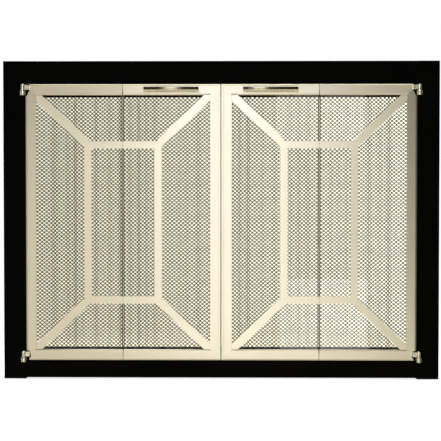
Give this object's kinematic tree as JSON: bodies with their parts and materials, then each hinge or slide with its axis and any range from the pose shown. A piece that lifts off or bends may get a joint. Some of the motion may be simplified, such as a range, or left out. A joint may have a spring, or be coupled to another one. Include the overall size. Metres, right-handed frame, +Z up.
{
  "type": "fireplace screen",
  "caption": "Black fireplace surround with two bi-fold door pairs, an angular nickel bar grille over glass, bar handles, and sliding spark mesh curtains behind.",
  "frame": {"origin": "on the hearth, midway between the posts, in the plane where the surround meets the masonry", "axes": "+X to the right as seen from the room, +Y into the fireplace, +Z up"},
  "size_m": [0.99, 0.138, 0.723],
  "materials": {
    "black_steel": "satin black powder coat",
    "foot_rubber": "matte",
    "magnet": "matte",
    "blackened_rod": "satin black",
    "zinc_steel": "zinc plated",
    "polished_nickel": "polished",
    "satin_nickel": "satin, warm",
    "clear_glass": "clear tempered",
    "glazing_rubber": "matte",
    "spark_mesh": "blackened wire"
  },
  "bodies": {
    "frame": {"left_post": "black_steel", "right_post": "black_steel", "header": "black_steel", "sill": "black_steel", "foot_pads": "foot_rubber", "corner_gussets": "black_steel", "upper_stop_angle": "black_steel", "lower_stop_angle": "black_steel", "frame_pivot_brackets": "polished_nickel", "magnetic_catches": "magnet", "curtain_rod": "blackened_rod", "rod_brackets": "blackened_rod", "anchor_rings": "blackened_rod", "lintel_clamps": "zinc_steel", "clamp_bolts": "zinc_steel", "hearth_brackets": "zinc_steel", "left_mesh_curtain": "spark_mesh", "right_mesh_curtain": "spark_mesh"},
    "left_outer_leaf": {"left_outer_stile": "satin_nickel", "left_outer_rails": "satin_nickel", "left_outer_edge_seal": "glazing_rubber", "left_outer_grille": "satin_nickel", "left_outer_glass": "clear_glass", "left_outer_glazing_bead": "glazing_rubber", "left_pivot_arms": "polished_nickel", "left_outer_fold_hinge": "zinc_steel"},
    "left_inner_leaf": {"left_inner_stile": "satin_nickel", "left_inner_rails": "satin_nickel", "left_inner_edge_seal": "glazing_rubber", "left_inner_grille": "satin_nickel", "left_inner_glass": "clear_glass", "left_inner_glazing_bead": "glazing_rubber", "left_inner_fold_hinge": "zinc_steel", "left_handle_bar": "polished_nickel", "left_handle_posts": "polished_nickel"},
    "left_ring_1_slider": {"left_ring_1": "blackened_rod"},
    "left_ring_2_slider": {"left_ring_2": "blackened_rod"},
    "left_ring_3_slider": {"left_ring_3": "blackened_rod"},
    "left_curtain_lead": {"left_lead_bar": "blackened_rod"},
    "right_outer_leaf": {"right_outer_stile": "satin_nickel", "right_outer_rails": "satin_nickel", "right_outer_edge_seal": "glazing_rubber", "right_outer_grille": "satin_nickel", "right_outer_glass": "clear_glass", "right_outer_glazing_bead": "glazing_rubber", "right_pivot_arms": "polished_nickel", "right_outer_fold_hinge": "zinc_steel"},
    "right_inner_leaf": {"right_inner_stile": "satin_nickel", "right_inner_rails": "satin_nickel", "right_inner_edge_seal": "glazing_rubber", "right_inner_grille": "satin_nickel", "right_inner_glass": "clear_glass", "right_inner_glazing_bead": "glazing_rubber", "right_inner_fold_hinge": "zinc_steel", "right_handle_bar": "polished_nickel", "right_handle_posts": "polished_nickel"},
    "right_ring_1_slider": {"right_ring_1": "blackened_rod"},
    "right_ring_2_slider": {"right_ring_2": "blackened_rod"},
    "right_ring_3_slider": {"right_ring_3": "blackened_rod"},
    "right_curtain_lead": {"right_lead_bar": "blackened_rod"}
  },
  "joints": [
    {"name": "left_swing", "type": "hinge", "parent": "frame", "child": "left_outer_leaf", "pos_m": [-0.449, -0.045, 0.35675], "axis": [0, 0, -1], "range_deg": [0, 90]},
    {"name": "left_fold", "type": "hinge", "parent": "left_outer_leaf", "child": "left_inner_leaf", "pos_m": [-0.22275, -0.0267, 0.35675], "axis": [0, 0, 1], "range_deg": [0, 180]},
    {"name": "right_swing", "type": "hinge", "parent": "frame", "child": "right_outer_leaf", "pos_m": [0.449, -0.045, 0.35675], "axis": [0, 0, 1], "range_deg": [0, 90]},
    {"name": "right_fold", "type": "hinge", "parent": "right_outer_leaf", "child": "right_inner_leaf", "pos_m": [0.22275, -0.0267, 0.35675], "axis": [0, 0, -1], "range_deg": [0, 180]},
    {"name": "left_curtain_slide", "type": "slide", "parent": "frame", "child": "left_curtain_lead", "axis": [-1, 0, 0], "range_m": [0, 0.3], "deforming": ["left_mesh_curtain"]},
    {"name": "left_ring_1_slide", "type": "slide", "parent": "frame", "child": "left_ring_1_slider", "axis": [-1, 0, 0], "range_m": [0, 0.075]},
    {"name": "left_ring_2_slide", "type": "slide", "parent": "frame", "child": "left_ring_2_slider", "axis": [-1, 0, 0], "range_m": [0, 0.15]},
    {"name": "left_ring_3_slide", "type": "slide", "parent": "frame", "child": "left_ring_3_slider", "axis": [-1, 0, 0], "range_m": [0, 0.225]},
    {"name": "right_curtain_slide", "type": "slide", "parent": "frame", "child": "right_curtain_lead", "axis": [1, 0, 0], "range_m": [0, 0.3], "deforming": ["right_mesh_curtain"]},
    {"name": "right_ring_1_slide", "type": "slide", "parent": "frame", "child": "right_ring_1_slider", "axis": [1, 0, 0], "range_m": [0, 0.075]},
    {"name": "right_ring_2_slide", "type": "slide", "parent": "frame", "child": "right_ring_2_slider", "axis": [1, 0, 0], "range_m": [0, 0.15]},
    {"name": "right_ring_3_slide", "type": "slide", "parent": "frame", "child": "right_ring_3_slider", "axis": [1, 0, 0], "range_m": [0, 0.225]}
  ],
  "couplings": [
    {"joint": "left_fold", "follows": "left_swing", "ratio": 2},
    {"joint": "right_fold", "follows": "right_swing", "ratio": 2},
    {"joint": "left_ring_1_slide", "follows": "left_curtain_slide", "ratio": 0.25},
    {"joint": "left_ring_2_slide", "follows": "left_curtain_slide", "ratio": 0.5},
    {"joint": "left_ring_3_slide", "follows": "left_curtain_slide", "ratio": 0.75},
    {"joint": "right_ring_1_slide", "follows": "right_curtain_slide", "ratio": 0.25},
    {"joint": "right_ring_2_slide", "follows": "right_curtain_slide", "ratio": 0.5},
    {"joint": "right_ring_3_slide", "follows": "right_curtain_slide", "ratio": 0.75}
  ]
}
